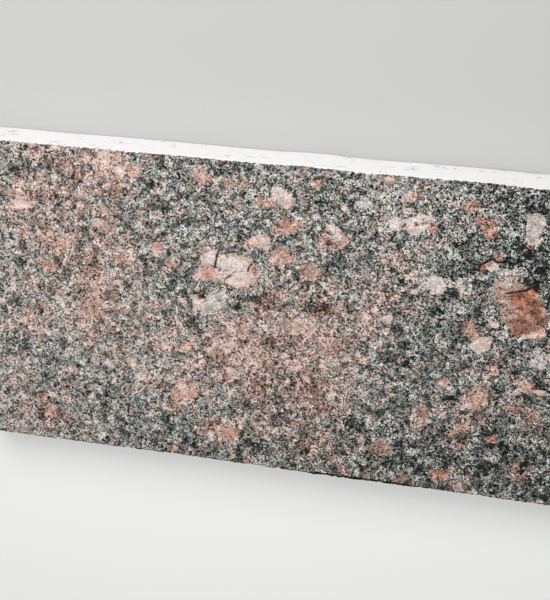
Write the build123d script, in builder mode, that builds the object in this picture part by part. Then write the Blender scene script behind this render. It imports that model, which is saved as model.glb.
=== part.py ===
from build123d import *
import os

# Granite paving slab, one sawn piece of stone lying on its bed face.
# X runs along the length, Y across the width and Z up out of the wearing face.
# The origin is the centre of the bed face.

# Driving dimensions, in millimetres
slab_length = 600.0
slab_width = 300.0
slab_thickness = 40.0
corner_arris = 1.0   # the four upright saw-cut corners
wearing_arris = 1.0  # all round the flamed wearing face
bed_arris = 1.0      # all round the sawn bed face

# The slab: a rectangle sawn from the block, its sharp corners and arrises broken by hand
with BuildPart() as slab:
    with BuildSketch(Plane.XY) as plan:
        Rectangle(slab_length, slab_width)
        chamfer(plan.vertices(), length=corner_arris)
    extrude(amount=slab_thickness)

    wearing_face = slab.faces().sort_by(Axis.Z)[-1]
    chamfer(wearing_face.edges(), length=wearing_arris)

    bed_face = slab.faces().sort_by(Axis.Z)[0]
    chamfer(bed_face.edges(), length=bed_arris)

slab.part.label = "granite_slab"

os.makedirs("parts", exist_ok=True)
export_step(slab.part, "parts/granite_slab.step")
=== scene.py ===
import bpy
import numpy as np
from mathutils import Euler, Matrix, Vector


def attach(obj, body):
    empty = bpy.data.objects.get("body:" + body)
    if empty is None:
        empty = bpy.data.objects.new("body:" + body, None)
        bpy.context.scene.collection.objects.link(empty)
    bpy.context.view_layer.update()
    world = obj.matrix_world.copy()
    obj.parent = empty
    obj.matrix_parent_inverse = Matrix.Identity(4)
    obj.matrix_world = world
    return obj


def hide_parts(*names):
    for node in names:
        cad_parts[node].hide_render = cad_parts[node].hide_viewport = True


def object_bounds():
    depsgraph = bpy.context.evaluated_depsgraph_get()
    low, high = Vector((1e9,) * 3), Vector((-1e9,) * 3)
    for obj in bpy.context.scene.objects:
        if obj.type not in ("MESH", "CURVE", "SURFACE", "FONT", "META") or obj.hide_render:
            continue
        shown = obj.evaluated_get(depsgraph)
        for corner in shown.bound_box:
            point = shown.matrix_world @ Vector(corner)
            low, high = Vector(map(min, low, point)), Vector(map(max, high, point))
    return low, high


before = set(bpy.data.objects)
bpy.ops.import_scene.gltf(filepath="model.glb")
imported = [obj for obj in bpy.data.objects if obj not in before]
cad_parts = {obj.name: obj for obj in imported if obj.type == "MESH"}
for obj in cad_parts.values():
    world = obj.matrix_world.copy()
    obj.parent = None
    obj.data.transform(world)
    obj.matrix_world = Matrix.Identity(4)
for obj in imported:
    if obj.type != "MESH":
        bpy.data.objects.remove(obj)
cadLow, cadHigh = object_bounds()
mm = 0.001  # metres; the shapes below are worked out in millimetres
slabLow = np.array(cadLow) / mm
slabHigh = np.array(cadHigh) / mm
print("frame loaded, box in mm:", (slabHigh - slabLow).round(1))


# The camera stands over the back long edge and looks down on the wearing face
cameraSetup = {
    "picture": (550, 600),              # pixels across and down
    "sensor": 36.0,                     # mm, along the long side of the picture
    "lens": 100.8,                      # mm
    "place": (0.3835, 0.6018, 1.3764),  # metres
    "turn": (-22.64, 16.01, 0.0),       # degrees about X, then Y, then Z
}


def makeCamera(setup):
    data = bpy.data.cameras.new("camera")
    data.sensor_width = setup["sensor"]
    data.lens = setup["lens"]
    camera = bpy.data.objects.new("camera", data)
    camera.location = setup["place"]
    camera.rotation_euler = np.radians(setup["turn"])
    bpy.context.scene.collection.objects.link(camera)
    bpy.context.scene.camera = camera


# A pixel's ray is the lens direction turned with the camera; it is run on until it meets the face plane
def faceSpot(across, down):
    width, height = cameraSetup["picture"]
    focal = cameraSetup["lens"] / cameraSetup["sensor"] * max(width, height)
    turn = np.array(Euler(np.radians(cameraSetup["turn"])).to_matrix())
    place = np.array(cameraSetup["place"]) / mm
    ray = turn @ np.array([(across - width / 2) / focal, (height / 2 - down) / focal, -1.0])
    return (place + ray * (slabHigh[2] - place[2]) / ray[2])[:2]


makeCamera(cameraSetup)
print("camera placed")


# White noise is kept only around one wavelength, by a ring in frequency space, and scaled to a spread of 1
def softNoise(shape, wavelength, seed):
    white = np.random.default_rng(seed).standard_normal(shape)
    down = np.fft.fftfreq(shape[0])[:, None]
    along = np.fft.rfftfreq(shape[1])[None, :]
    ring = np.hypot(down, along) * wavelength
    field = np.fft.irfft2(np.fft.rfft2(white) * ring * np.exp(-0.5 * ring**2), s=shape)
    return field / field.std()


# A smooth ramp from 0 at low to 1 at high
def ease(value, low, high):
    share = np.clip((value - low) / (high - low), 0.0, 1.0)
    return share * share * (3.0 - 2.0 * share)


# Screen colours are written as 0 to 255 and turned into linear light
def paint(red, green, blue):
    screen = np.array([red, green, blue]) / 255.0
    linear = np.where(screen <= 0.04045, screen / 12.92, ((screen + 0.055) / 1.055) ** 2.4)
    return (*linear.tolist(), 1.0)


# Soft patches in the ground by kind: how much lighter or darker and how much pinker the ground is there,
# how many mm the rim takes to fade, and the lift in mm.
# A place is pixels across and down, then length and breadth in mm, and the turn in degrees if there is one.
patchKinds = {
    "dark": {  # hornblende and mica gathered in clots
        "shade": -0.13, "pink": -0.5, "soft": 3.0, "lift": -0.2,
        "places": (
            (18, 157, 6, 6), (90, 165, 8, 7), (134, 155, 11, 6, -10), (58, 205, 7, 8), (83, 221, 9, 9),
            (94, 212, 5, 6), (20, 265, 15, 6, 5), (99, 198, 7, 5), (18, 303, 10, 7), (75, 308, 9, 8),
            (80, 393, 8, 7), (108, 395, 9, 9), (144, 403, 11, 14, -30), (166, 393, 8, 7),
            (207, 188, 11, 8, 20), (188, 196, 9, 11), (241, 167, 16, 10, -10), (175, 229, 12, 14, 20),
            (212, 230, 9, 15, 10), (239, 227, 10, 8, 40), (181, 280, 18, 11, -20), (190, 319, 13, 10, 20),
            (250, 297, 14, 8), (260, 171, 14, 10), (172, 340, 7, 6), (318, 201, 18, 7),
            (340, 172, 11, 6, -5), (402, 188, 13, 6, -5), (283, 210, 10, 6), (285, 244, 8, 8),
            (333, 220, 13, 8), (351, 230, 9, 6), (348, 249, 7, 6), (333, 265, 7, 6), (371, 261, 10, 8),
            (418, 267, 13, 11), (364, 245, 5, 10), (403, 285, 8, 6), (472, 268, 9, 7), (450, 276, 9, 8),
            (451, 294, 17, 7, 5), (492, 312, 10, 12), (441, 315, 15, 12, -45), (510, 346, 16, 10, -10),
            (456, 392, 12, 9), (500, 243, 9, 8), (475, 235, 11, 7), (390, 356, 11, 12), (405, 363, 9, 11),
            (388, 379, 15, 9), (393, 407, 18, 10, 20), (357, 430, 17, 10, 20), (380, 433, 14, 8),
            (398, 447, 12, 11), (422, 472, 9, 12), (360, 470, 8, 7), (503, 443, 12, 13),
            (484, 470, 18, 17), (544, 407, 13, 13), (432, 420, 13, 8), (330, 468, 12, 9),
            (545, 480, 20, 14), (520, 450, 14, 8), (285, 413, 8, 7), (185, 437, 14, 9), (545, 372, 9, 12),
            (477, 315, 9, 8), (532, 257, 13, 11), (464, 379, 13, 10), (536, 190, 13, 8),
            (387, 474, 17, 8), (521, 213, 12, 12), (386, 192, 13, 8), (61, 434, 14, 8),
            (547, 380, 10, 12), (3, 211, 8, 10), (3, 370, 8, 12), (356, 474, 14, 9), (488, 477, 15, 12),
            (449, 235, 11, 9), (369, 355, 13, 10), (548, 302, 8, 18), (470, 262, 10, 9),
            (505, 251, 13, 8), (482, 307, 10, 8), (470, 276, 10, 7),
        ),
    },
    "hollow": {  # black hornblende, weathered out
        "shade": -0.58, "pink": -0.4, "soft": 1.6, "lift": -0.5,
        "places": ((534, 287, 10, 10, -40), (542, 271, 9, 9), (530, 256, 7, 6), (548, 300, 7, 13)),
    },
    "ash": {  # pale grey plagioclase and quartz
        "shade": 0.06, "pink": -0.35, "soft": 3.0, "lift": 0.05,
        "places": (
            (463, 233, 16, 11), (452, 254, 14, 10), (497, 273, 20, 9), (148, 186, 14, 12),
            (530, 205, 15, 11), (547, 257, 9, 9), (529, 344, 12, 9), (226, 230, 10, 12),
            (529, 396, 11, 9), (456, 263, 12, 9), (405, 238, 12, 8),
        ),
    },
    "olive": {  # painted shade in the hollows beside the ledges, olive-brown
        "shade": -0.18, "pink": 0.2, "soft": 3.0, "lift": -0.3,
        "places": ((461, 246, 18, 8, 35), (540, 379, 18, 12), (401, 361, 10, 9), (498, 260, 9, 4, -10)),
    },
    "blush": {  # fine pink feldspar among the other grains
        "shade": 0.11, "pink": 0.75, "soft": 3.0, "lift": 0.05,
        "places": (
            (33, 152, 19, 10, 20), (67, 166, 8, 11), (85, 152, 9, 6), (117, 155, 9, 5),
            (132, 173, 11, 13), (24, 175, 7, 6), (19, 199, 28, 17), (115, 189, 19, 10, 10),
            (61, 190, 10, 7), (103, 212, 14, 7), (65, 245, 9, 8), (56, 252, 12, 8), (86, 252, 15, 8),
            (92, 311, 30, 24, 10), (29, 318, 14, 22), (146, 380, 15, 17), (161, 348, 16, 9, -5),
            (144, 420, 7, 7), (160, 427, 9, 8), (202, 177, 22, 10, -5), (227, 184, 10, 8),
            (243, 184, 5, 12), (211, 200, 8, 6), (158, 248, 14, 10, 30), (169, 264, 8, 13),
            (154, 305, 19, 7, 5), (174, 317, 9, 8), (267, 299, 19, 18), (318, 184, 8, 9),
            (282, 258, 17, 9, 5), (328, 174, 7, 7), (301, 196, 8, 8), (411, 200, 12, 6),
            (421, 182, 12, 8), (388, 178, 20, 7), (311, 273, 9, 9), (395, 262, 19, 14, -20),
            (412, 278, 10, 10), (414, 291, 12, 10), (477, 206, 14, 12, 20), (483, 224, 12, 9),
            (463, 291, 8, 10), (460, 323, 11, 9), (470, 330, 13, 11, -30), (445, 385, 12, 12),
            (474, 400, 23, 16, 15), (418, 420, 20, 23), (438, 411, 9, 12), (513, 409, 16, 8, -20),
            (533, 417, 15, 8, -15), (522, 384, 17, 9, 10), (462, 425, 14, 9), (450, 435, 9, 9),
            (380, 449, 22, 16, -20), (461, 491, 10, 8), (344, 472, 9, 8), (513, 478, 22, 11),
            (195, 364, 11, 10), (255, 359, 27, 15), (184, 390, 24, 22, 60), (222, 433, 34, 18, 5),
            (331, 345, 28, 19), (300, 330, 30, 22, 20), (296, 366, 18, 12), (251, 459, 12, 9),
            (497, 255, 7, 5), (237, 330, 30, 22, 15), (219, 352, 22, 15), (265, 203, 17, 8, -5),
            (320, 242, 11, 9), (325, 178, 10, 9), (122, 263, 12, 10), (526, 485, 14, 9),
            (222, 361, 12, 10), (474, 417, 13, 10), (463, 437, 13, 11), (420, 315, 14, 11),
            (229, 198, 12, 9), (475, 372, 12, 8), (432, 244, 12, 9), (194, 264, 10, 8), (176, 349, 10, 8),
            (32, 246, 12, 9), (105, 162, 30, 18, -10), (100, 285, 22, 14, 30), (48, 238, 22, 14, 30),
            (20, 232, 12, 9),
        ),
    },
    "brown": {  # red-brown, weathered
        "shade": -0.14, "pink": 0.85, "soft": 3.4, "lift": -0.05,
        "places": (
            (305, 169, 10, 6, -5), (258, 389, 20, 20, 60), (310, 384, 23, 14, 10), (50, 412, 24, 17, -15),
            (322, 408, 20, 12), (300, 446, 24, 10), (403, 478, 15, 12), (376, 452, 16, 11),
            (513, 408, 12, 6, -20), (324, 308, 22, 10), (274, 341, 10, 16), (308, 306, 12, 8),
            (268, 303, 22, 16), (483, 294, 9, 11),
        ),
    },
}

# Crystals by kind, in the order they are laid. Colours are those of the middle and the rim. Soft is how many
# mm the rim takes to fade, grain how much of the ground's grain shows in it, and lift its height in mm.
# Places are as above. An outline is the turn of the cleavage and then the corners in pixels.
crystalKinds = {
    "salmon": {  # pink to orange feldspar
        "middle": (201, 162, 147), "rim": (185, 153, 141), "soft": 1.3, "grain": 1.0, "lift": 0.1,
        "places": (
            (308, 273, 18, 12, 10), (284, 258, 22, 13, 5), (343, 241, 10, 15, 10), (249, 244, 12, 7, 10),
            (487, 224, 20, 13, -20), (50, 411, 14, 10, -15), (176, 394, 10, 9), (190, 396, 9, 8),
            (230, 434, 15, 12), (474, 401, 18, 11, 15), (202, 177, 20, 11, -5), (67, 167, 7, 8),
            (266, 203, 17, 8, -5), (228, 184, 9, 8), (60, 246, 14, 10, 20), (120, 258, 9, 7),
            (157, 247, 12, 8, 30), (169, 263, 7, 11), (97, 301, 12, 9), (48, 265, 13, 10),
            (133, 172, 12, 11), (10, 193, 10, 8), (445, 383, 9, 8), (462, 427, 11, 9), (452, 435, 7, 6),
            (515, 467, 8, 7), (527, 388, 14, 10), (493, 370, 14, 7), (318, 184, 8, 8),
        ),
        "outlines": (
            (-50, (327, 224), (333, 223.5), (339, 229), (348, 236), (343, 248), (332, 250), (322, 245),
             (322, 236)),
            (10, (272, 225), (287, 219), (298, 223), (300, 228), (294, 234), (286, 236), (272, 233)),
        ),
    },
    "clay": {  # duller, stained feldspar
        "middle": (172, 139, 125), "rim": (152, 127, 116), "soft": 1.6, "grain": 1.3, "lift": 0.0,
        "places": (
            (512, 408, 13, 7, -20), (532, 417, 15, 7, -15), (380, 447, 18, 13, -20), (402, 480, 13, 9),
            (367, 475, 9, 9), (423, 412, 9, 9), (115, 190, 14, 9, 10), (304, 168, 9, 6, -5),
            (470, 330, 19, 14, -35), (473, 206, 18, 8, 10),
        ),
    },
    "grey": {  # grey-white plagioclase
        "middle": (208, 203, 200), "rim": (197, 189, 185), "soft": 1.0, "grain": 0.8, "lift": 0.1,
        "places": (
            (364, 204, 18, 9, 3), (139, 343, 8, 7), (26, 417, 8, 10), (538, 364, 16, 14, 45),
            # (505, 273) and (517, 272) lie on the lit top edge of the ledge: pale stone, partly a painted
            # highlight
            (318, 229, 6, 6), (54, 178, 7, 7), (317, 217, 7, 6), (468, 406, 7, 6), (505, 273, 9, 5),
            (517, 272, 10, 5, -20), (475, 347, 12, 11, 40), (211, 437, 12, 8, -40),
        ),
        "outlines": (
            (25, (212, 291.5), (219, 289.5), (228, 295), (226, 303), (218, 314.5), (203, 315),
             (190.5, 303), (202, 299)),
        ),
    },
    "pearl": {  # clean grey feldspar with a sharp rim
        "middle": (194, 188, 186), "rim": (206, 192, 186), "soft": 0.7, "grain": 0.35, "lift": 0.15,
        "outlines": (
            (5, (526.5, 214), (540.5, 214), (545.5, 218), (547, 224.5), (539.5, 233), (540, 242),
             (537, 250), (530, 249.5), (525.5, 240), (526.5, 228)),
        ),
    },
    "chalk": {  # the same, pinker and paler
        "middle": (221, 211, 207), "rim": (222, 206, 199), "soft": 0.7, "grain": 0.3, "lift": 0.15,
        # (492, 268) lies on the same lit edge of the ledge: pale stone, partly a painted highlight
        "places": ((436, 286, 18, 17, 40), (492, 268, 11, 8, -10)),
        "outlines": (
            (40, (468, 345), (481, 337), (493, 338), (489, 350), (478, 356)),
            (10, (388, 222), (394, 217), (402, 220), (410, 217.5), (421, 213.5), (432.5, 217), (435, 222),
             (430, 227), (422, 229), (419, 236), (408, 234), (405.5, 230), (394, 230.5), (389.5, 229)),
        ),
    },
    "pale": {  # pink-white feldspar, pinker towards the rim
        "middle": (226, 207, 201), "rim": (214, 182, 171), "soft": 0.9, "grain": 0.45, "lift": 0.2,
        "places": (
            (286, 205, 9, 7), (388, 178, 10, 4, -5), (272, 260, 7, 6), (202, 176, 9, 5, -5),
            (345, 209, 7, 6), (104, 161, 10, 7), (197, 304, 12, 9), (119, 171, 11, 9),
            (261, 242, 21, 12, 15), (21, 205, 16, 11, -20), (97, 223, 10, 10), (103, 153, 11, 6),
            (11, 360, 8, 10, 30), (131, 362, 11, 9, 30), (539, 393, 11, 6, -5), (387, 318, 12, 8, 20),
            (183, 301, 8, 8), (229, 372, 8, 11), (414, 292, 7, 6), (231, 345, 10, 9), (182, 386, 10, 8),
            (441, 383, 6, 6), (462, 408, 6, 6), (88, 423, 7, 5),
        ),
        "outlines": (
            (-10, (203, 249), (216, 250), (221, 254.5), (236, 254.5), (250, 259), (260, 272), (257, 284),
             (247, 288), (229, 284), (203, 280), (193, 277), (203, 267), (199.5, 259)),
            (30, (270, 195), (280, 187), (285, 188.5), (294, 200), (291, 209), (286, 209), (278, 204),
             (277, 198)),
            (40, (480, 338), (493, 338), (489, 350), (479, 347)),
        ),
    },
    "white": {  # the whitest cores
        "middle": (230, 218, 214), "rim": (224, 208, 203), "soft": 1.5, "grain": 0.4, "lift": 0.25,
        "places": (
            (234, 264, 30, 13, -10), (208, 257, 14, 13), (281, 194, 15, 11, 30), (420, 220, 13, 8, 15),
            (119, 171, 9, 7), (21, 205, 10, 7, -20), (240, 274, 22, 8, -10),
        ),
        "outlines": (
            (10, (388, 222.5), (394.5, 217), (404, 220), (408, 223), (404, 228), (398, 230), (390, 228.5)),
            (-50, (326, 224.5), (333, 224), (339, 229), (343, 238), (337, 242), (328, 236)),
        ),
    },
    "cleaved": {  # the large red-brown crystal, split in steps
        "middle": (176, 126, 106), "rim": (184, 152, 141),
        "soft": 0.6, "grain": 0.6, "lift": -0.5, "terrace": 0.5, "pitch": 9.0,
        "outlines": (
            (6, (493, 281.5), (500, 280), (506, 282), (513, 281), (519, 283.5), (527, 287), (536, 295),
             (542.5, 304), (545.5, 317), (543, 330), (530, 335), (512, 335), (502.5, 321.5), (495.5, 297)),
        ),
    },
    "dusk": {  # pink-grey parts of the red-brown crystal
        "middle": (198, 174, 166), "rim": (180, 148, 136), "soft": 2.4, "grain": 0.8, "lift": -0.3,
        "outlines": (
            (6, (494, 282), (508, 283), (510, 296), (516, 306), (514, 317), (504, 322), (497, 300)),
            (6, (495, 282), (513, 282), (525, 287), (514, 290), (498, 290)),
        ),
    },
    "ember": {  # orange streaks along its cleavage
        "middle": (195, 124, 94), "rim": (178, 119, 95), "soft": 1.2, "grain": 0.6, "lift": -0.4,
        "places": ((518, 303, 14, 7, -8), (532, 295, 10, 5, -38), (528, 301, 14, 4)),
    },
    "umber": {  # brown shadows along its cleavage
        "middle": (132, 88, 70), "rim": (150, 106, 88), "soft": 1.4, "grain": 0.8, "lift": -0.5,
        "places": (
            (535, 306, 17, 5), (524, 331, 22, 5, 6), (535, 313, 16, 3, 3), (520, 324, 26, 2.5, -4),
            (516, 297, 16, 2.5, 4), (541, 321, 8, 13, 10),
        ),
    },
    "veil": {  # its whitish corner
        "middle": (196, 182, 176), "rim": (184, 162, 154), "soft": 1.6, "grain": 0.9, "lift": -0.3,
        "places": ((506, 285, 15, 6, -4), (511, 279, 12, 4)),
    },
    "black": {  # hornblende, weathered out beside it
        "middle": (10, 15, 15), "rim": (24, 31, 30), "soft": 1.2, "grain": 0.5, "lift": -0.6,
        "places": ((542.5, 271, 7, 7),),
        "outlines": (
            (0, (522, 280.5), (531, 281), (539.5, 284), (540, 291.5), (534, 293), (527, 288)),
        ),
    },
    "foot": {  # pink-white slivers with sharp corners
        "middle": (232, 211, 203), "rim": (224, 196, 184), "soft": 0.7, "grain": 0.35, "lift": 0.25,
        "places": ((236, 281, 26, 7, 5), (247, 271, 10, 9)),
        "outlines": (
            (5, (520, 336.5), (528, 335), (531, 332), (537, 333.5), (545, 331), (543, 338), (531, 339.5)),
            (-30, (488, 319), (498.5, 323.5), (499.5, 328), (491.5, 328.5)),
        ),
    },
    "rust": {  # small orange and red stains
        "middle": (198, 146, 124), "rim": (190, 152, 137), "soft": 2.4, "grain": 1.1, "lift": 0.0,
        "places": (
            (431, 225, 7, 8), (434, 230, 6, 8), (491, 235, 14, 8), (487, 224, 9, 6, -20),
            (108, 229, 8, 6), (48, 266, 11, 7), (120, 259, 8, 6), (208, 273, 12, 11), (531.5, 247, 7, 5),
            (249, 246, 5, 4), (231, 435, 14, 10), (174, 449, 8, 6), (491, 440, 11, 6, 10),
            (188, 346, 5, 8), (90, 303, 8, 6), (115, 309, 7, 6), (44, 396, 7, 5), (67, 417, 6, 6),
            (22, 385, 5, 5), (485, 266, 9, 6, 40), (480, 271, 5, 4, 40), (289, 222, 8, 6),
            (260, 307, 5, 4), (175, 396, 8, 8), (193, 395, 8, 7), (461, 448, 7, 6), (439, 476, 14, 11),
            (405, 227, 5, 4, 40), (98, 267, 6, 6), (177, 406, 8, 8), (90, 271, 8, 7),
            (498, 259, 9, 4, -5), (228, 377, 6, 6), (205, 251, 7, 4, 10), (303, 223, 5, 6),
            (541, 335, 7, 6), (254, 271, 6, 9, -30),
        ),
    },
    "pit": {  # small red-brown pits
        "middle": (52, 38, 33), "rim": (72, 52, 45), "soft": 0.8, "grain": 0.4, "lift": -0.3,
        "places": (
            (220, 270, 3, 3.5), (227, 257, 2.5, 2.5), (416, 224.5, 4, 3.5), (422.5, 223.5, 2.5, 2.5),
            (426.5, 223, 2, 3), (294, 194, 4, 5), (328, 244, 5, 5), (278, 226, 6, 3, 5), (519, 309, 5, 2),
        ),
    },
}

# Crystals strewn by chance over the two ends that lie outside the picture
endCrystals = {"dark": 34, "blush": 40, "brown": 5, "grey": 7, "pale": 12, "rust": 12}
endLines = ((-276.0, 0.068), (253.0, -0.063))  # mm at the middle of the width, and the slant of the line

# Broad clouds: pixels across and down, reach in mm, and strength
broadClouds = {
    "pink": (
        (50, 165, 45, 0.5), (110, 165, 40, 0.6), (40, 205, 40, 0.5), (100, 215, 45, 0.3),
        (70, 255, 45, 0.6), (95, 310, 40, 0.6), (30, 315, 30, 0.3), (130, 260, 40, 0.25),
        (200, 345, 40, 0.4), (240, 330, 50, 0.42), (300, 320, 50, 0.42), (270, 370, 50, 0.5),
        (310, 400, 50, 0.55), (250, 420, 40, 0.4), (345, 350, 40, 0.4), (380, 295, 40, 0.5),
        (45, 410, 35, 0.6), (110, 350, 40, 0.25), (185, 390, 25, 0.6), (222, 432, 25, 0.6),
        (475, 400, 35, 0.6), (330, 455, 40, 0.5), (420, 420, 30, 0.4), (520, 410, 30, 0.4),
        (440, 480, 30, 0.3), (540, 470, 45, 0.35), (480, 470, 40, 0.25),
    ),
    "crisp": (
        (480, 200, 80, 0.28), (530, 280, 70, 0.2), (400, 270, 60, 0.12), (330, 210, 60, 0.14),
        (220, 210, 50, 0.1),
    ),
    # The dark ones low in the picture make the face darker towards its front arris
    "dark": (
        (10, 260, 35, 0.3), (165, 200, 40, 0.45), (225, 225, 45, 0.8), (330, 200, 55, 1.2),
        (360, 255, 40, 0.5), (180, 290, 40, 0.45), (235, 303, 30, 0.3), (460, 215, 60, 0.6),
        (530, 195, 50, 1.75), (460, 265, 40, 0.7), (536, 266, 32, 1.6), (528, 238, 34, 0.9),
        (505, 251, 15, 1.2), (470, 268, 16, 0.8), (440, 320, 45, 0.9), (400, 365, 45, 0.7),
        (440, 370, 45, 0.5), (375, 430, 45, 0.7), (505, 340, 45, 0.8), (540, 390, 40, 0.45),
        (540, 450, 60, 1.1), (480, 460, 50, 1.25), (410, 465, 50, 1.15), (120, 420, 50, 0.65),
        (180, 445, 45, 0.95), (280, 465, 50, 0.75), (345, 475, 45, 0.65), (540, 490, 50, 1.05),
        (60, 435, 40, 0.65), (20, 360, 40, 0.2), (230, 460, 40, 0.75), (60, 225, 45, 0.3),
        (30, 160, 45, 0.25), (20, 150, 30, 0.2),
    ),
}

# Cracks and ledges: the line in pixels, half its width in mm, its depth,
# and how far the side on its right steps down. Each is painted dark along its line; where a side steps down,
# that dark line is painted shadow under the step
fractures = (
    (((217.7, 252), (216.3, 258), (215, 264), (214.5, 268)), 1.1, 0.6, 0.0),
    (((211.5, 266.5), (217, 268)), 0.9, 0.5, 0.0),
    (((252, 264), (248.4, 268), (247.3, 272)), 0.9, 0.5, 0.0),
    (((234, 272), (230.4, 275.6), (225, 279.6), (223, 283.6)), 0.7, 0.4, 0.0),
    (((197.6, 304), (201.6, 308), (205, 309.7)), 0.6, 0.3, 0.0),
    (
        ((470, 271), (477, 271), (482, 264.5), (488, 261.5), (494, 260.3), (497, 263), (506, 262.7)),
        1.25, 0.4, 0.6,
    ),
    (((506, 262.7), (514, 264.5), (523, 267), (528, 270), (534, 279), (537, 284)), 1.0, 0.5, 0.6),
    (((505, 294.5), (511, 293.5), (524, 291.5), (530, 290)), 1.1, 0.6, 0.4),
    (((532, 389), (547, 390)), 1.1, 0.5, 0.5),
    (((468, 346), (472, 351), (478, 355)), 0.7, 0.4, 0.0),
    (((400.7, 229), (403.7, 226), (406.4, 224.5)), 0.8, 0.4, 0.0),
    (((326.7, 232), (331.4, 235.6)), 1.1, 0.4, 0.0),
    (((322, 237), (330.7, 242.3)), 0.8, 0.3, 0.0),
    (((485, 445), (496, 445)), 0.9, 0.4, 0.4),
    (((441, 243), (444, 250), (447, 256)), 0.7, 0.4, 0.4),
    (((455, 247), (464, 244), (472, 237)), 0.9, 0.5, 0.4),
)

# How crystals and patches are formed, in mm
crystalForm = {
    "sides": (5, 8), "skew": 0.3, "reach": (0.86, 1.06),  # how many, and how unevenly set round an oval
    "wobble": (1.3, 0.5),  # how far the sides of a crystal, and of an outline, waver
    "waver": 6.0, "fullWobble": 14.0,  # grid steps in a waver, and the breadth from which it is full
    "core": 0.35,  # of the breadth, from the rim in to the middle's colour
    "deepest": 6.0, "overlap": 0.5,  # in soft rims: where depth is cut off, and over which one covers another
    "chance": (0.1, 0.006),  # in a crystal's height, and in its slope
    "streakShift": 7.0,  # between the streaks of one crystal and the next
    "endLength": (6.0, 1.9), "endBreadth": (0.5, 0.9),  # gamma spread at the two ends, and its share
}

# The slab's surface, in mm
slabShape = {
    "step": 1.55,  # between grid lines on the wearing face
    "arrisLines": (0.0, 0.45, 1.0, 1.8, 2.9),  # closer grid lines along the arris
    "sideLevels": (0.5, 1.2, 2.2, 4.0, 7.0, 11.0, 16.0, 22.0, 28.0, 33.0, 37.0, 39.0, 40.0),
    "relief": {90.0: 0.22, 28.0: 0.20, 10.0: 0.16, 4.6: 0.10},  # wavelength and height
    "crystalCalm": 0.6,  # share of the relief that the crystals lack
    "meanDepth": 0.75, "mostDepth": 3.0,  # of the relief under the face plane
    "rimFall": (0.35, 0.8),  # how far the face falls off at its rim, and within what
    "stepReach": 14.0,  # how far a ledge's low side takes to rise again
    "cutSoft": 0.5,  # how much wider than its crack a cut is, on each side
    "widestGap": 8.0,  # beyond which the gap to a crack doesn't count
    "bedArris": 1.0,
    "sawMarks": (0.10, 6.0),  # depth, and grid steps from one to the next
    "seeds": {"patches": 11, "crystals": 17, "relief": 20, "sawMarks": 70},
}

# How the edges are worn in from the slab's box, in mm. Noise along them has its length in grid steps.
# Along the front, the wave and the width of the dark arris, a painted shadow line, are given at pixels across
# the picture.
edgeShape = {
    "reach": 8.0, "raggedReach": 1.6,  # how far into the face, and how far down the sides, the wear goes
    "wave": {"length": 100.0, "height": 0.3, "seed": 40},
    "nicks": {"length": 3.2, "mean": 0.35, "height": 0.22, "seed": 50},
    "chips": {"length": 7.0, "least": 1.0, "height": 0.8, "seed": 60},
    "noiseRows": 8,
    "frontWave": ((0, 0.6), (75, 0.6), (175, 1.5), (350, 0.0), (475, 1.3), (550, 1.1)),
    "frontPaintedShadow": ((0, 1.0), (280, 1.0), (320, 2.4), (350, 3.2), (390, 3.0), (425, 1.3), (450, 0.9)),
    "frontLine": (431.7, 0.137),  # pixels down at the picture's left, and down per pixel across
}

# How much pinker, less pink and darker the ground is in clouds, less pink all over, and a cloud's spread
cloudShift = {"pink": 0.70, "greyer": 0.26, "darker": 0.12, "grey": 0.08, "spread": 0.6}

farAway, touching, tiny = 1e6, 0.01, 1e-9  # mm


# Lines across one side of the face: close together at both arrises and even between them
def gridLine(low, high):
    near = np.array(slabShape["arrisLines"])
    start = near[-1] + slabShape["step"]
    count = int(round((high - low - 2 * start) / slabShape["step"])) + 1
    return np.concatenate([low + near, np.linspace(low + start, high - start, count), high - near[::-1]])


# A crystal is the space inside a few straight sides set round an oval.
# Its depth is how far a point lies inside the nearest side, in mm, and below 0 outside.
def crystalDepth(along, across, length, breadth, rng):
    sides = rng.integers(*crystalForm["sides"])
    skew = rng.uniform(-crystalForm["skew"], crystalForm["skew"], sides)
    facing = (np.arange(sides) + skew) * 2 * np.pi / sides
    oval = np.hypot(length / 2 * np.cos(facing), breadth / 2 * np.sin(facing))
    reach = oval * rng.uniform(*crystalForm["reach"], sides)
    gaps = [r - along * np.cos(f) - across * np.sin(f) for r, f in zip(reach, facing)]
    return np.min(gaps, axis=0)


# The depth inside any outline is the distance to its nearest side, below 0 where a level line from the point
# crosses its sides an even number of times
def outlineDepth(x, y, corners):
    nearest = np.full(x.shape, farAway)
    inside = np.zeros(x.shape, bool)
    for start, stop in zip(corners, np.roll(corners, -1, axis=0)):
        nearest = np.minimum(nearest, stretchGap(x, y, start, stop)[0])
        crosses = (y < start[1]) != (y < stop[1])
        rise = stop[1] - start[1] + tiny
        inside ^= crosses & (x < start[0] + (y - start[1]) * (stop[0] - start[0]) / rise)
    return np.where(inside, nearest, -nearest)


# The distance to a straight stretch, and how far to its right a point lies
def stretchGap(x, y, start, stop):
    run = stop - start
    reach = np.hypot(*run)
    share = np.clip(((x - start[0]) * run[0] + (y - start[1]) * run[1]) / reach**2, 0.0, 1.0)
    gap = np.hypot(x - start[0] - share * run[0], y - start[1] - share * run[1])
    return gap, ((x - start[0]) * run[1] - (y - start[1]) * run[0]) / reach


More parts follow.
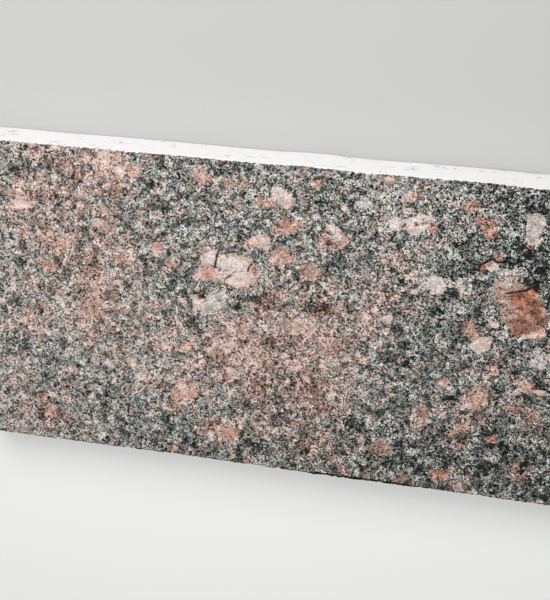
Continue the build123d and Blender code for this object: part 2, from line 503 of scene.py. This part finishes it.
# Patches or crystals of each kind: by chance at the two ends, then those that the picture shows. Each gives
# its kind, middle, length, breadth and turn, and its corners if it has an outline.
def listCrystals(kinds, rng):
    for name, kind in kinds.items():
        for _ in range(endCrystals.get(name, 0)):
            spot = rng.uniform(slabLow[:2], slabHigh[:2])
            left, right = (place + slant * spot[1] for place, slant in endLines)
            share = rng.uniform(slabLow[0] - left, slabHigh[0] - right)
            spot[0] = share + (left if share < 0 else right)
            length = rng.gamma(*crystalForm["endLength"])
            breadth = length * rng.uniform(*crystalForm["endBreadth"])
            yield kind, spot, length, breadth, rng.uniform(0, np.pi), None
        for turn, *outline in kind.get("outlines", ()):
            corners = np.array([faceSpot(*corner) for corner in outline])
            length, breadth = np.ptp(corners, axis=0)
            yield kind, corners.mean(axis=0), length, breadth, np.radians(turn), corners
        for across, down, length, breadth, *turn in kind.get("places", ()):
            yield kind, faceSpot(across, down), length, breadth, np.radians(turn[0] if turn else 0), None


# Places along and across each crystal, and its depth there, with its straight sides made to waver
def crystalFields(x, y, kinds, seed):
    rng = np.random.default_rng(seed)
    waver = [softNoise(x.shape, crystalForm["waver"], seed + n) for n in (1, 2)]
    for kind, spot, length, breadth, turn, corners in listCrystals(kinds, rng):
        ragged = crystalForm["wobble"][corners is not None] * min(1.0, breadth / crystalForm["fullWobble"])
        offX = x - spot[0] + ragged * waver[0]
        offY = y - spot[1] + ragged * waver[1]
        along = offX * np.cos(turn) + offY * np.sin(turn)
        across = offY * np.cos(turn) - offX * np.sin(turn)
        if corners is None:
            depth = crystalDepth(along, across, length, breadth, rng)
        else:
            depth = outlineDepth(offX + spot[0], offY + spot[1], corners)
        yield kind, breadth, along, across, depth, rng


# A patch shifts shade, pinkness and height as far as a point is inside it, in place of the patches before it
def layPatches(x, y, seed):
    shifts = {name: np.zeros(x.shape) for name in ("shade", "pink", "lift")}
    for kind, _, _, _, depth, _ in crystalFields(x, y, patchKinds, seed):
        inside = ease(depth / kind["soft"], -1.0, 1.0)
        for name, field in shifts.items():
            field += (kind[name] - field) * inside
    return shifts


# Depths are divided by each kind's soft rim, so that -1 to 1 is any rim, and the deepest counts. A crystal's
# colour goes from rim to middle and covers what was laid before as far as a point is inside. A split crystal
# rises and drops back once in each pitch across its cleavage.
def layCrystals(x, y, seed):
    deepest, overlap = crystalForm["deepest"], crystalForm["overlap"]
    heightChance, slopeChance = crystalForm["chance"]
    fields = {
        "depth": np.full(x.shape, -deepest),
        "colour": np.zeros((*x.shape, 4)),
        "along": np.zeros((*x.shape, 3)),
        "lift": np.zeros(x.shape),
    }
    listed = crystalFields(x, y, crystalKinds, seed)
    for number, (kind, breadth, along, across, depth, rng) in enumerate(listed):
        core = ease(depth, 0.0, crystalForm["core"] * breadth)[..., None]
        rim, middle = np.array(paint(*kind["rim"])), np.array(paint(*kind["middle"]))
        colour = rim * (1 - core) + middle * core
        colour[..., 3] = kind["grain"]
        lift = kind["lift"] + rng.normal(0.0, heightChance) + along * rng.normal(0.0, slopeChance)
        if "terrace" in kind:
            lift = lift + kind["terrace"] * ((across / kind["pitch"]) % 1.0)
        scaled = np.clip(depth / kind["soft"], -deepest, deepest)
        over = np.maximum(ease(scaled, -1.0, 1.0), ease(scaled - fields["depth"], -overlap, overlap))
        fields["colour"] += (colour - fields["colour"]) * over[..., None]
        fields["lift"] += (lift - fields["lift"]) * over
        own = np.stack([along, across, np.full(x.shape, crystalForm["streakShift"] * number)], -1)
        fields["along"] = np.where((over > 0.5)[..., None], own, fields["along"])
        fields["depth"] = np.maximum(fields["depth"], scaled)
    return fields


# The gap to a line is the shortest distance to its straight stretches, less half its width. The cut is a bell
# curve of the distance, and the side to the right of the line's run is stepped down, most of all beside it.
def layFractures(x, y):
    nearest = np.full(x.shape, slabShape["widestGap"])
    drop = np.zeros(x.shape)
    for line, width, cut, step in fractures:
        knots = np.array([faceSpot(*knot) for knot in line])
        gap = np.full(x.shape, farAway)
        right = np.zeros(x.shape)
        for start, stop in zip(knots, knots[1:]):
            distance, toRight = stretchGap(x, y, start, stop)
            right = np.where(distance < gap, toRight, right)
            gap = np.minimum(gap, distance)
        low = np.clip(right / np.maximum(gap, touching), 0.0, 1.0) * np.exp(-gap / slabShape["stepReach"])
        drop += cut * np.exp(-(gap / (width + slabShape["cutSoft"])) ** 2) + step * low
        nearest = np.minimum(nearest, gap - width)
    return nearest, drop


# Each cloud is a round hump that falls off as a bell curve; clouds of one sort add up
def layClouds(x, y, sort):
    total = np.zeros(x.shape)
    for across, down, reach, strength in broadClouds[sort]:
        spot = faceSpot(across, down)
        spread = cloudShift["spread"] * reach
        total += strength * np.exp(-((x - spot[0]) ** 2 + (y - spot[1]) ** 2) / (2 * spread**2))
    return total


# A value along the front arris, between places given in pixels across
def alongFront(line, knots):
    across, value = np.array(knots).T
    level, slope = edgeShape["frontLine"]
    return np.interp(line, [faceSpot(a, level + slope * a)[0] for a in across], value)


# One row of noise along an edge
def edgeNoise(form, line, number):
    return softNoise((edgeShape["noiseRows"], len(line)), form["length"], form["seed"] + number)[0]


# How far each edge is worn in: a slow wave, and small grain-sized nicks with a few larger chips
def edgeWear(xLine, yLine):
    wear = {}
    wave, nicks, chips = edgeShape["wave"], edgeShape["nicks"], edgeShape["chips"]
    sides = {"front": xLine, "back": xLine, "left": yLine, "right": yLine}
    for number, (side, line) in enumerate(sides.items()):
        if side == "front":
            slow = alongFront(line, edgeShape["frontWave"])
        else:
            slow = edgeNoise(wave, line, number)
            slow = wave["height"] * (slow - slow.min())
        nicked = nicks["mean"] + nicks["height"] * edgeNoise(nicks, line, number)
        chipped = chips["height"] * np.maximum(edgeNoise(chips, line, number) - chips["least"], 0.0)
        wear[side] = (line, slow, np.maximum(nicked + chipped, 0.0))
    return wear


# Points moved in by the wear of each edge, which dies away as they lie further from it
def trimEdges(x, y, wear, ragged):
    def inset(side, along):
        line, slow, nicked = wear[side]
        return np.interp(along, line, slow) + ragged * np.interp(along, line, nicked)

    reach = edgeShape["reach"]
    newX = x + inset("left", y) * np.exp((slabLow[0] - x) / reach)
    newX = newX - inset("right", y) * np.exp((x - slabHigh[0]) / reach)
    newY = y + inset("front", x) * np.exp((slabLow[1] - y) / reach)
    newY = newY - inset("back", x) * np.exp((y - slabHigh[1]) / reach)
    return newX, newY


# Depth under the face plane: waves of several lengths, calmer on the crystals, with each crystal lifted or
# sunk as a whole, then the cracks and ledges, and the rim that falls off
def faceDepth(x, y, patches, crystals, drop):
    relief = np.zeros(x.shape)
    for number, (wavelength, height) in enumerate(slabShape["relief"].items()):
        seed = slabShape["seeds"]["relief"] + number
        relief += height * softNoise(x.shape, wavelength / slabShape["step"], seed)
    inside = ease(crystals["depth"], -1.0, 1.0)
    lift = patches["lift"] * (1 - inside) + crystals["lift"] * inside
    depth = slabShape["meanDepth"] - relief * (1 - slabShape["crystalCalm"] * inside) - lift + drop
    rimX = np.minimum(x - slabLow[0], slabHigh[0] - x)
    rimY = np.minimum(y - slabLow[1], slabHigh[1] - y)
    fall, within = slabShape["rimFall"]
    return np.clip(depth + fall * np.exp(-np.minimum(rimX, rimY) / within), 0.0, slabShape["mostDepth"])


# Rings of points down the sides, from under the face's rim to the bed: worn as the rim is but less and less
# ragged, marked by the saw, and the last one drawn in evenly by the bed's arris
def sideRings(ringX, ringY, ringTop, wear):
    centre = (slabLow + slabHigh) / 2
    half = slabHigh - centre
    offX, offY = ringX - centre[0], ringY - centre[1]
    nearX = np.abs(offX) > half[0] - touching
    nearY = np.abs(offY) > half[1] - touching
    levels = slabShape["sideLevels"]
    thickness = slabHigh[2] - slabLow[2]
    markDepth, markLength = slabShape["sawMarks"]
    marks = np.abs(softNoise((len(levels), len(ringX)), markLength, slabShape["seeds"]["sawMarks"]))
    rings = []
    for level, mark in zip(levels, markDepth * marks):
        newX, newY = trimEdges(ringX, ringY, wear, np.exp(-level / edgeShape["raggedReach"]))
        newX = newX - np.sign(offX) * mark * nearX
        newY = newY - np.sign(offY) * mark * nearY
        if level == levels[-1]:
            newX = newX - offX * slabShape["bedArris"] / half[0]
            newY = newY - offY * slabShape["bedArris"] / half[1]
        rings.append(np.stack([newX, newY, ringTop * (1 - level / thickness)], -1))
    return rings


# Quads: the face grid, then each band between two rings, then the bed as one flat face
def joinMesh(points, index, ring, ringCount):
    faceQuads = np.stack([index[:-1, :-1], index[:-1, 1:], index[1:, 1:], index[1:, :-1]], -1).reshape(-1, 4)
    count = len(ring)
    rings = [ring] + [index.size + n * count + np.arange(count) for n in range(ringCount)]
    bands = [np.stack([a, b, np.roll(b, -1), np.roll(a, -1)], -1) for a, b in zip(rings, rings[1:])]
    quads = np.concatenate([faceQuads, *bands])
    corners = np.concatenate([quads.ravel(), rings[-1][::-1]]).astype(np.int32)
    starts = np.concatenate([np.arange(len(quads)) * 4, [quads.size]]).astype(np.int32)
    smooth = np.ones(len(starts), bool)
    smooth[-1 - count:] = False  # the bed and its arris stay crisp

    mesh = bpy.data.meshes.new("stone_slab")
    mesh.vertices.add(len(points))
    mesh.vertices.foreach_set("co", (points * mm).astype(np.float32).ravel())
    mesh.loops.add(len(corners))
    mesh.loops.foreach_set("vertex_index", corners)
    mesh.polygons.add(len(starts))
    mesh.polygons.foreach_set("loop_start", starts)
    mesh.polygons.foreach_set("use_smooth", smooth)
    mesh.update(calc_edges=True)
    mesh.validate()
    print("slab mesh:", len(points), "points,", len(starts), "faces")
    return mesh


# An attribute with a value for each point of the face, and one value for all points of the sides and bed
def storeField(mesh, name, values, sideValue):
    sideValue = np.atleast_1d(sideValue)
    width = len(sideValue)
    kind, field = {1: ("FLOAT", "value"), 3: ("FLOAT_VECTOR", "vector"), 4: ("FLOAT_COLOR", "color")}[width]
    values = np.reshape(values, (-1, width))
    sides = np.broadcast_to(sideValue, (len(mesh.vertices) - len(values), width))
    flat = np.concatenate([values, sides]).astype(np.float32)
    mesh.attributes.new(name, kind, "POINT").data.foreach_set(field, flat.ravel())


# The slab: a grid of points over the wearing face, rings of points down its sides, and a flat bed
def makeSlab():
    xLine = gridLine(slabLow[0], slabHigh[0])
    yLine = gridLine(slabLow[1], slabHigh[1])
    x, y = np.meshgrid(xLine, yLine)
    print("slab grid", x.shape)

    patches = layPatches(x, y, slabShape["seeds"]["patches"])
    crystals = layCrystals(x, y, slabShape["seeds"]["crystals"])
    crackAndShadowGap, drop = layFractures(x, y)
    # The front arris is painted dark as a painted shadow line, through the same gap as the cracks
    crackAndShadowGap = np.minimum(crackAndShadowGap, y - slabLow[1] - alongFront(xLine, edgeShape["frontPaintedShadow"]))
    print("crystals and fractures laid")

    wear = edgeWear(xLine, yLine)
    faceX, faceY = trimEdges(x, y, wear, 1.0)
    faceZ = slabHigh[2] - faceDepth(x, y, patches, crystals, drop)
    face = np.stack([faceX, faceY, faceZ], -1).reshape(-1, 3)

    # The ring of grid points along the outline, counter-clockwise from above
    index = np.arange(x.size).reshape(x.shape)
    ring = np.concatenate([index[0, :-1], index[:-1, -1], index[-1, :0:-1], index[:0:-1, 0]])
    rings = sideRings(x.ravel()[ring], y.ravel()[ring], face[ring, 2], wear)
    mesh = joinMesh(np.concatenate([face, *rings]), index, ring, len(rings))

    sawn = np.zeros(x.size)
    sawn[ring] = 0.5  # halfway from the flamed face to the sawn sides
    darkCloud = layClouds(x, y, "dark")
    pinkness = cloudShift["pink"] * layClouds(x, y, "pink") - cloudShift["greyer"] * darkCloud
    pinkness = pinkness + patches["pink"] - cloudShift["grey"]
    shade = patches["shade"] - cloudShift["darker"] * darkCloud
    ground = np.stack([pinkness, shade, crackAndShadowGap], -1)
    storeField(mesh, "sawn", sawn, 1.0)
    storeField(mesh, "crispCloud", layClouds(x, y, "crisp"), 0.0)
    storeField(mesh, "crystalDepth", crystals["depth"], -crystalForm["deepest"])
    storeField(mesh, "crystalColour", crystals["colour"], (1.0, 1.0, 1.0, 1.0))
    storeField(mesh, "crystalAlong", crystals["along"], (0.0, 0.0, 0.0))
    storeField(mesh, "ground", ground, (0.0, 0.0, slabShape["widestGap"]))

    slab = bpy.data.objects.new("stone_slab", mesh)
    bpy.context.scene.collection.objects.link(slab)
    return slab


# What a Python operator between a wire and a wire or number does: it adds a Math node
def mathsNode(operation, swapped=False):
    def method(wire, other):
        first, second = (other, wire) if swapped else (wire, other)
        return wire.bench.add("ShaderNodeMath", {"operation": operation}, {0: first, 1: second})

    return method


# One value or colour running through a material
class Wire:
    def __init__(self, bench, socket):
        self.bench = bench
        self.socket = socket

    def also(self, output):
        return Wire(self.bench, self.socket.node.outputs[output])

    __add__ = mathsNode("ADD")
    __radd__ = mathsNode("ADD", swapped=True)
    __sub__ = mathsNode("SUBTRACT")
    __rsub__ = mathsNode("SUBTRACT", swapped=True)
    __mul__ = mathsNode("MULTIPLY")
    __rmul__ = mathsNode("MULTIPLY", swapped=True)


# A node tree to which nodes are added: type, settings first, then values or links of the sockets
class Bench:
    def __init__(self, tree):
        self.tree = tree
        tree.nodes.clear()

    def add(self, kind, settings, sockets, output=0):
        node = self.tree.nodes.new(kind)
        for name, value in settings.items():
            if name == "stops":
                self.fillRamp(node.color_ramp, value)
            else:
                setattr(node, name, value)
        for name, value in sockets.items():
            if isinstance(value, Wire):
                self.tree.links.new(value.socket, node.inputs[name])
            else:
                node.inputs[name].default_value = value
        return Wire(self, node.outputs[output]) if len(node.outputs) else None

    def fillRamp(self, ramp, stops):
        while len(ramp.elements) < len(stops):
            ramp.elements.new(1.0)
        for element, (place, colour) in zip(ramp.elements, stops):
            element.position = place
            element.color = colour

    def ramp(self, value, places, colours):
        stops = [(place, paint(*colour)) for place, colour in zip(places, colours)]
        return self.add("ShaderNodeValToRGB", {"stops": stops}, {"Fac": value}, "Color")

    def mix(self, share, first, second, blend="MIX"):
        settings = {"data_type": "RGBA", "blend_type": blend, "clamp_factor": True}
        return self.add("ShaderNodeMix", settings, {0: share, 6: first, 7: second}, 2)

    def tinted(self, share, colour, tint):
        return self.mix(share, colour, self.mix(1.0, colour, tint, "MULTIPLY"))

    def vector(self, operation, first, second):
        return self.add("ShaderNodeVectorMath", {"operation": operation}, {0: first, 1: second})

    def scaled(self, colour, factor):
        return self.add("ShaderNodeVectorMath", {"operation": "SCALE"}, {0: colour, "Scale": factor})

    def noise(self, spot, size, detail, roughness, output="Fac"):
        sockets = {"Vector": spot, "Scale": 1.0 / size, "Detail": detail, "Roughness": roughness}
        return self.add("ShaderNodeTexNoise", {"noise_dimensions": "3D"}, sockets, output)

    def grains(self, spot, size, smooth=0.0):
        settings = {"feature": "SMOOTH_F1" if smooth else "F1"}
        sockets = {"Vector": spot, "Scale": 1.0 / size, **({"Smoothness": smooth} if smooth else {})}
        colour = self.add("ShaderNodeTexVoronoi", settings, sockets, "Color")
        return self.add("ShaderNodeSeparateColor", {}, {"Color": colour}, "Red")

    def ease(self, value, low, high):
        sockets = {"Value": value, "From Min": low, "From Max": high}
        return self.add("ShaderNodeMapRange", {"interpolation_type": "SMOOTHSTEP"}, sockets, "Result")

    def attribute(self, name, output):
        return self.add("ShaderNodeAttribute", {"attribute_name": name}, {}, output)


# Sizes are in mm. A noise is its size, detail and roughness, a shift keeps one pattern apart from the others,
# and a fade is where a value begins to count and where it counts fully.
granite = {
    "mineral": (6.5, 0.25), "grain": 2.4, "fleck": 1.0,  # grains: the main ones with soft borders, and others
    "warp": 2.4,  # how ragged they are
    "noise": {
        "warp": (2.6, 3.0, 0.65), "clot": (14.0, 3.0, 0.6), "crisp": (11.0, 1.0, 0.55),
        "tint": (7.0, 1.0, 0.6), "rim": (3.4, 3.0, 0.6), "streak": (1.6, 3.0, 0.65),
        "crackAndShadow": (5.0, 1.0, 0.55), "dash": (1.1, 2.0, 0.6), "sawLine": (1.2, 2.0, 0.6),
    },
    "shift": {
        "grain": (13.0, 29.0, 7.0), "fleck": (31.0, 17.0, 53.0),
        "crisp": (19.0, 83.0, 37.0), "tint": (70.0, 11.0, 5.0),
    },
    "stretch": {"streak": (0.14, 0.75, 1.0), "dash": (0.3, 0.3, 1.0), "sawLine": (0.03, 0.03, 1.0)},
    "meanShade": 0.54,
    "contrast": {"mineral": 0.35, "grain": 0.36, "fleck": 1.06, "clot": 0.15, "dark": 0.18, "speck": 0.30},
    "crispness": {"noise": 2.2, "pink": 0.08},
    "gather": {"clot": 0.9, "shade": 0.9, "speck": 0.5},  # how dark grains follow the clots
    "darkShare": 0.20, "darkFade": (0.12, -0.02), "speckFade": (0.14, 0.08),
    "stops": (0.00, 0.12, 0.28, 0.45, 0.60, 0.76, 0.90, 1.00),
    "teal": (  # from hornblende through plagioclase to quartz
        (8, 17, 16), (29, 39, 37), (70, 78, 75), (110, 116, 111),
        (143, 146, 141), (177, 178, 173), (202, 201, 196), (224, 222, 217),
    ),
    "pink": (  # from stained mica through pink feldspar to quartz
        (32, 20, 14), (60, 44, 35), (104, 80, 67), (143, 114, 103),
        (174, 142, 131), (204, 173, 162), (223, 195, 182), (238, 217, 207),
    ),
    "pinkness": {"mineral": 0.5, "tint": 3.4, "shade": 0.4, "dark": 0.25}, "pinkFade": (-0.7, 1.0),
    "crystal": {
        "rim": 2.4, "fleck": 0.9, "rimFade": (-0.35, 0.35),  # how ragged its rim is
        "mean": 1.05, "swing": 1.1, "streak": 1.8,  # its shade
        "cleavage": (0.82, 0.78, 0.76, 1.0), "cleavageFade": (0.7, 0.35),
        "fleckClot": 0.6, "fleckFade": (0.88, 0.96), "fleckCover": 0.5, "cover": 0.95,
    },
    # The tint darkens cracks, and is painted shadow under the ledges and along the front arris
    "crackAndShadow": {"fleck": 0.5, "noise": 1.6, "fade": (0.3, -0.4), "tint": (0.10, 0.07, 0.06, 1.0)},
    "sawn": {
        # pale is nearly white: pale sawn stone, partly painted light
        "pale": paint(252, 251, 250), "grey": paint(178, 176, 174), "pink": paint(248, 243, 239),
        "dashClot": 0.7, "dashFade": (0.64, 0.75), "pinkCover": 0.6, "pinkFade": (0.75, 0.95),
        "edgeFleck": 0.3, "edgeFade": (0.38, 0.62),  # how ragged the line is where sawn meets flamed
    },
    "roughness": (0.62, 0.9), "gloss": 0.2,
    "relief": {"height": 0.35, "grain": 0.6, "fleck": 0.4, "crystalCalm": 0.7, "sawnCalm": 0.8, "saw": 0.12},
}


# Grains are cells of a space warped by noise, so that they lock into each other
def grainPatterns(bench):
    spot = bench.scaled(bench.add("ShaderNodeTexCoord", {}, {}, "Object"), 1.0 / mm)
    drift = bench.noise(spot, *granite["noise"]["warp"], "Color")
    drift = bench.vector("SUBTRACT", drift, (0.5, 0.5, 0.5))
    warped = bench.vector("ADD", spot, bench.scaled(drift, granite["warp"]))
    shift = granite["shift"]
    return {
        "spot": spot,
        "mineral": bench.grains(warped, *granite["mineral"]),
        "grain": bench.grains(bench.vector("ADD", warped, shift["grain"]), granite["grain"]),
        "fleck": bench.grains(bench.vector("ADD", warped, shift["fleck"]), granite["fleck"]),
        "clots": bench.noise(spot, *granite["noise"]["clot"]) - 0.5,
        "crisp": bench.noise(bench.vector("ADD", spot, shift["crisp"]), *granite["noise"]["crisp"]) - 0.5,
        "tint": bench.noise(bench.vector("ADD", spot, shift["tint"]), *granite["noise"]["tint"]) - 0.5,
    }


# The ground: each grain and fleck has its shade, read from a teal and a pink palette, and some are dark.
# The curves g(2 - g) and g squared of a grain's chance value have their means, 0.667 and 0.333, taken off.
def groundColour(bench, stone, pinkShift, shadeShift):
    mineral, grain, fleck, clots = (stone[name] for name in ("mineral", "grain", "fleck", "clots"))
    contrast, gather, crispness = granite["contrast"], granite["gather"], granite["crispness"]
    gathered = gather["clot"] * clots + gather["shade"] * shadeShift
    share = granite["darkShare"]
    dark = bench.ease(mineral.also("Green") + gathered, *(share + side for side in granite["darkFade"]))
    speck = bench.ease(grain.also("Green") + gather["speck"] * gathered, *granite["speckFade"])
    crumbs = contrast["fleck"] * (fleck * (2.0 - fleck) - 0.667)
    crumbs = crumbs + contrast["grain"] * (grain * (2.0 - grain) - 0.667)
    crispCloud = bench.attribute("crispCloud", "Fac")
    crumbs = crumbs * (1.0 + crispness["noise"] * stone["crisp"] - crispness["pink"] * pinkShift + crispCloud)
    swing = crumbs + contrast["mineral"] * (mineral * mineral - 0.333) - contrast["dark"] * (dark - share)
    swing = swing * (1.0 - shadeShift) - contrast["speck"] * speck + contrast["clot"] * clots
    shade = granite["meanShade"] + shadeShift + swing
    weight = granite["pinkness"]
    pinkness = pinkShift + weight["mineral"] * (mineral.also("Blue") - 0.5) + weight["tint"] * stone["tint"]
    pinkness = pinkness + weight["shade"] * (mineral - 0.5) - weight["dark"] * dark
    pinkness = bench.ease(pinkness, *granite["pinkFade"])
    teal, pink = (bench.ramp(shade, granite["stops"], granite[name]) for name in ("teal", "pink"))
    return bench.mix(pinkness, teal, pink), swing


# Crystals: ragged at the rim, streaked along their cleavage, with small dark flecks
def crystalColour(bench, stone, swing):
    setup, noise, fleck = granite["crystal"], granite["noise"], stone["fleck"]
    ragged = setup["rim"] * (bench.noise(stone["spot"], *noise["rim"]) - 0.5)
    ragged = ragged + setup["fleck"] * (fleck - 0.5)
    inside = bench.ease(bench.attribute("crystalDepth", "Fac") + ragged, *setup["rimFade"])
    along = bench.vector("MULTIPLY", bench.attribute("crystalAlong", "Vector"), granite["stretch"]["streak"])
    streaks = bench.noise(along, *noise["streak"])
    body = bench.attribute("crystalColour", "Color")
    grained = body.also("Alpha") * (setup["swing"] * swing + setup["streak"] * (streaks - 0.5))
    body = bench.scaled(body, setup["mean"] + grained)
    body = bench.tinted(bench.ease(streaks, *setup["cleavageFade"]), body, setup["cleavage"])
    flecks = bench.ease(fleck.also("Blue") + setup["fleckClot"] * stone["clots"], *setup["fleckFade"])
    return body, setup["cover"] * inside * (1.0 - setup["fleckCover"] * flecks)


# Sawn faces: pale stone painted nearly white, partly painted light for a brightly lit edge, with the grains
# showing faintly through
def sawnColour(bench, stone):
    setup = granite["sawn"]
    stretched = bench.vector("MULTIPLY", stone["spot"], granite["stretch"]["dash"])
    dashes = bench.noise(stretched, *granite["noise"]["dash"])
    grey = bench.ease(dashes + setup["dashClot"] * stone["clots"], *setup["dashFade"])
    paleAndPaintedLight = bench.mix(grey, setup["pale"], setup["grey"])
    pink = setup["pinkCover"] * bench.ease(stone["grain"].also("Green"), *setup["pinkFade"])
    paleAndPaintedLight = bench.mix(pink, paleAndPaintedLight, setup["pink"])
    ragged = setup["edgeFleck"] * (stone["fleck"] - 0.5)
    return paleAndPaintedLight, bench.ease(bench.attribute("sawn", "Fac") + ragged, *setup["edgeFade"])


# Fine relief: the grains, calmer on crystals and on sawn faces, and saw lines on the latter
def grainBump(bench, stone, crystal, sawn):
    setup = granite["relief"]
    height = setup["grain"] * stone["grain"] + setup["fleck"] * stone["fleck"]
    height = height * (1.0 - setup["crystalCalm"] * crystal) * (1.0 - setup["sawnCalm"] * sawn)
    stretched = bench.vector("MULTIPLY", stone["spot"], granite["stretch"]["sawLine"])
    height = height + setup["saw"] * sawn * bench.noise(stretched, *granite["noise"]["sawLine"])
    sockets = {"Height": height, "Strength": 1.0, "Distance": setup["height"] * mm}
    return bench.add("ShaderNodeBump", {}, sockets)


# One stone with two finishes: flamed on the wearing face, and sawn on the sides and bed
def makeGranite():
    material = bpy.data.materials.new("granite")
    material.use_nodes = True
    bench = Bench(material.node_tree)
    stone = grainPatterns(bench)
    pinkShift = bench.add("ShaderNodeSeparateXYZ", {}, {0: bench.attribute("ground", "Vector")}, "X")
    shadeShift, crackAndShadowGap = pinkShift.also("Y"), pinkShift.also("Z")

    flamed, swing = groundColour(bench, stone, pinkShift, shadeShift)
    body, crystal = crystalColour(bench, stone, swing)
    flamed = bench.mix(crystal, flamed, body)
    # Cracks painted dark, with painted shadow under the ledges and along the front arris
    setup = granite["crackAndShadow"]
    ragged = setup["noise"] * (bench.noise(stone["spot"], *granite["noise"]["crackAndShadow"]) - 0.5)
    crackAndShadow = bench.ease(crackAndShadowGap + setup["fleck"] * (stone["fleck"] - 0.5) + ragged, *setup["fade"])
    flamed = bench.tinted(crackAndShadow, flamed, setup["tint"])
    # The sawn sides and bed, painted nearly white, partly painted light
    paleAndPaintedLight, sawn = sawnColour(bench, stone)

    low, high = granite["roughness"]
    roughness = low + (high - low) * (0.5 * stone["grain"].also("Blue") + 0.5 * stone["fleck"].also("Blue"))
    shader = bench.add("ShaderNodeBsdfPrincipled", {}, {
        "Base Color": bench.mix(sawn, flamed, paleAndPaintedLight),
        "Roughness": roughness,
        "Normal": grainBump(bench, stone, crystal, sawn),
        "Specular IOR Level": granite["gloss"],
    })
    bench.add("ShaderNodeOutputMaterial", {}, {"Surface": shader})
    print("granite material:", len(material.node_tree.nodes), "nodes")
    return material


# A plain pale floor just under the bed. It is open within the slab's outline and clear from its back,
# so that light and view reach the bed from below. Sizes are in metres.
floorSetup = {
    "side": 12.0,
    "drop": 0.0001, "under": 0.0015,  # its drop below the bed, and its reach in under it
    # front and behind are painted light and shade on the floor
    "front": paint(240, 240, 239), "behind": paint(194, 194, 193),
    "turn": (-0.15, 0.15),  # Y from which, and to which, the front's colour gives way
    "roughness": 0.8, "gloss": 0.1,
}


# Four corners of the floor and four of the opening, joined by one quad along each side
def makeFloor(setup):
    square = np.array([[-1, -1], [1, -1], [1, 1], [-1, 1]])
    opening = square * ((slabHigh - slabLow)[:2] / 2 * mm - setup["under"])
    flat = np.concatenate([square * setup["side"] / 2, opening])
    points = np.column_stack([flat, np.full(len(flat), -setup["drop"])])
    mesh = bpy.data.meshes.new("floor")
    mesh.from_pydata(points.tolist(), [], [(0, 1, 5, 4), (1, 2, 6, 5), (2, 3, 7, 6), (3, 0, 4, 7)])
    mesh.materials.append(makeFloorMaterial(setup))
    floor = bpy.data.objects.new("floor", mesh)
    bpy.context.scene.collection.objects.link(floor)


# Matt from above, and paler in front than behind: painted light and shade, paler in front against the slab's
# shadow and darker behind where the back lamp lights it
def makeFloorMaterial(setup):
    material = bpy.data.materials.new("floor")
    material.use_nodes = True
    bench = Bench(material.node_tree)
    spot = bench.add("ShaderNodeTexCoord", {}, {}, "Object")
    depth = bench.add("ShaderNodeSeparateXYZ", {}, {0: spot}, "Y")
    matt = bench.add("ShaderNodeBsdfPrincipled", {}, {
        "Base Color": bench.mix(bench.ease(depth, *setup["turn"]), setup["front"], setup["behind"]),
        "Roughness": setup["roughness"],
        "Specular IOR Level": setup["gloss"],
    })
    clear = bench.add("ShaderNodeBsdfTransparent", {}, {})
    under = bench.add("ShaderNodeNewGeometry", {}, {}, "Backfacing")
    both = bench.add("ShaderNodeMixShader", {}, {0: under, 1: matt, 2: clear})
    bench.add("ShaderNodeOutputMaterial", {}, {"Surface": both})
    return material


# Soft studio light: a broad lamp behind the back edge, one overhead, and an even grey surround.
# Places and sizes are in metres, powers in watts.
lampSetup = {
    "back": {"place": (-0.25, 1.10, 1.10), "aim": (0.0, 0.0, 0.02), "size": (1.4, 0.9), "power": 17.6},
    "overhead": {"place": (-0.2, -0.45, 1.9), "aim": (0.0, 0.0, 0.02), "size": (1.9, 1.9), "power": 12.3},
}
surround = {"light": (0.38, 0.38, 0.38, 1.0), "shown": paint(224, 224, 223)}


def makeLamps():
    for name, setup in lampSetup.items():
        data = bpy.data.lights.new(name, "AREA")
        data.shape = "RECTANGLE"
        data.size, data.size_y = setup["size"]
        data.energy = setup["power"]
        lamp = bpy.data.objects.new(name, data)
        lamp.location = setup["place"]
        gaze = Vector(setup["aim"]) - Vector(setup["place"])
        lamp.rotation_euler = gaze.to_track_quat("-Z", "Y").to_euler()
        bpy.context.scene.collection.objects.link(lamp)


def makeSurround():
    world = bpy.data.worlds.new("surround")
    bpy.context.scene.world = world
    world.use_nodes = True
    bench = Bench(world.node_tree)
    seen = bench.add("ShaderNodeLightPath", {}, {}, "Is Camera Ray")
    colour = bench.mix(seen, surround["light"], surround["shown"])
    background = bench.add("ShaderNodeBackground", {}, {"Color": colour, "Strength": 1.0})
    bench.add("ShaderNodeOutputWorld", {}, {"Surface": background})


slab = makeSlab()
slab.data.materials.append(makeGranite())
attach(slab, "root")
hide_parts("granite_slab")
makeFloor(floorSetup)
makeLamps()
makeSurround()
bpy.context.scene.view_settings.view_transform = "Standard"
print("floor and lamps placed")
